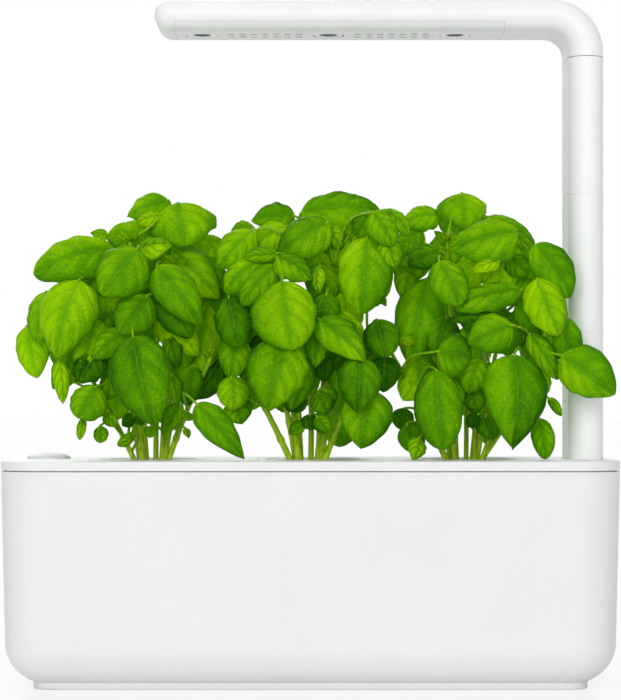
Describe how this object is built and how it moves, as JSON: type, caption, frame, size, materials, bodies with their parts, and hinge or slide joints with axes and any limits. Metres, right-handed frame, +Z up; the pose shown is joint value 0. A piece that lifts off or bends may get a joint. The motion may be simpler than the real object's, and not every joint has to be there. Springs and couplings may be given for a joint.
{
  "type": "countertop hydroponic garden",
  "caption": "Countertop hydroponic garden: water tank with a lift-off lid, plant pods with basil, a water-level float, and a grow light on a column of stackable arms.",
  "frame": {"origin": "centre of the foot's underside, on the surface the garden stands on", "axes": "+Z up, +X along the tank towards the lamp column, -Y towards the front"},
  "size_m": [0.304, 0.127, 0.3423],
  "materials": {
    "white_shell": "smooth semi-gloss white moulding",
    "grey_plastic": "matte pale grey moulding",
    "pale_insert": "matte off-white moulding",
    "black_plastic": "satin black",
    "black_window": "polished black",
    "lens": "polished pale translucent",
    "circuit_board": "green solder mask",
    "aluminium": "extruded satin",
    "brass": "turned, satin",
    "sponge": "fibrous dark growing medium",
    "foam": "closed-cell foam",
    "leaf": "waxy living basil leaf"
  },
  "bodies": {
    "tank": {"water_tank": "white_shell", "foot_plinth": "grey_plastic"},
    "lid": {"lid": "white_shell", "float_guide": "grey_plastic", "lamp_socket": "white_shell", "dc_inlet": "black_plastic", "electronics_tray": "grey_plastic", "timer_board": "circuit_board", "contact_pin_base": "brass"},
    "pod_1": {"pod_cup_1": "pale_insert", "pod_cover_1": "pale_insert", "grow_sponge_1": "sponge", "basil_1": "leaf"},
    "pod_2": {"pod_cup_2": "pale_insert", "pod_cover_2": "pale_insert", "grow_sponge_2": "sponge", "basil_2": "leaf"},
    "pod_3": {"pod_cup_3": "pale_insert", "pod_cover_3": "pale_insert", "grow_sponge_3": "sponge", "basil_3": "leaf", "basil_3_side_leaves": "leaf"},
    "float": {"float_cap": "white_shell", "float_buoy": "foam"},
    "arm_1": {"extension_arm_1": "white_shell", "contact_pin_1": "brass"},
    "arm_2": {"extension_arm_2": "white_shell", "contact_pin_2": "brass"},
    "arm_3": {"extension_arm_3": "white_shell", "contact_pin_3": "brass"},
    "lamp_head": {"lamp_housing": "white_shell", "lamp_cover": "white_shell", "heat_sink": "aluminium", "led_board": "circuit_board", "led_lens_1": "lens", "led_lens_2": "lens", "led_lens_3": "lens", "led_window_1": "black_window", "led_window_2": "black_window", "led_window_3": "black_window"}
  },
  "joints": [
    {"name": "lid_lift", "type": "slide", "parent": "tank", "child": "lid", "axis": [0, 0, 1], "range_m": [0, 0.08]},
    {"name": "pod_1_lift", "type": "slide", "parent": "lid", "child": "pod_1", "axis": [0, 0, 1], "range_m": [0, 0.06]},
    {"name": "pod_2_lift", "type": "slide", "parent": "lid", "child": "pod_2", "axis": [0, 0, 1], "range_m": [0, 0.06]},
    {"name": "pod_3_lift", "type": "slide", "parent": "lid", "child": "pod_3", "axis": [0, 0, 1], "range_m": [0, 0.06]},
    {"name": "float_travel", "type": "slide", "parent": "lid", "child": "float", "axis": [0, 0, 1], "range_m": [-0.03, 0]},
    {"name": "arm_1_pull", "type": "slide", "parent": "lid", "child": "arm_1", "axis": [0, 0, 1], "range_m": [0, 0.014]},
    {"name": "arm_2_pull", "type": "slide", "parent": "arm_1", "child": "arm_2", "axis": [0, 0, 1], "range_m": [0, 0.014]},
    {"name": "arm_3_pull", "type": "slide", "parent": "arm_2", "child": "arm_3", "axis": [0, 0, 1], "range_m": [0, 0.014]},
    {"name": "lamp_pull", "type": "slide", "parent": "arm_3", "child": "lamp_head", "axis": [0, 0, 1], "range_m": [0, 0.014]}
  ]
}
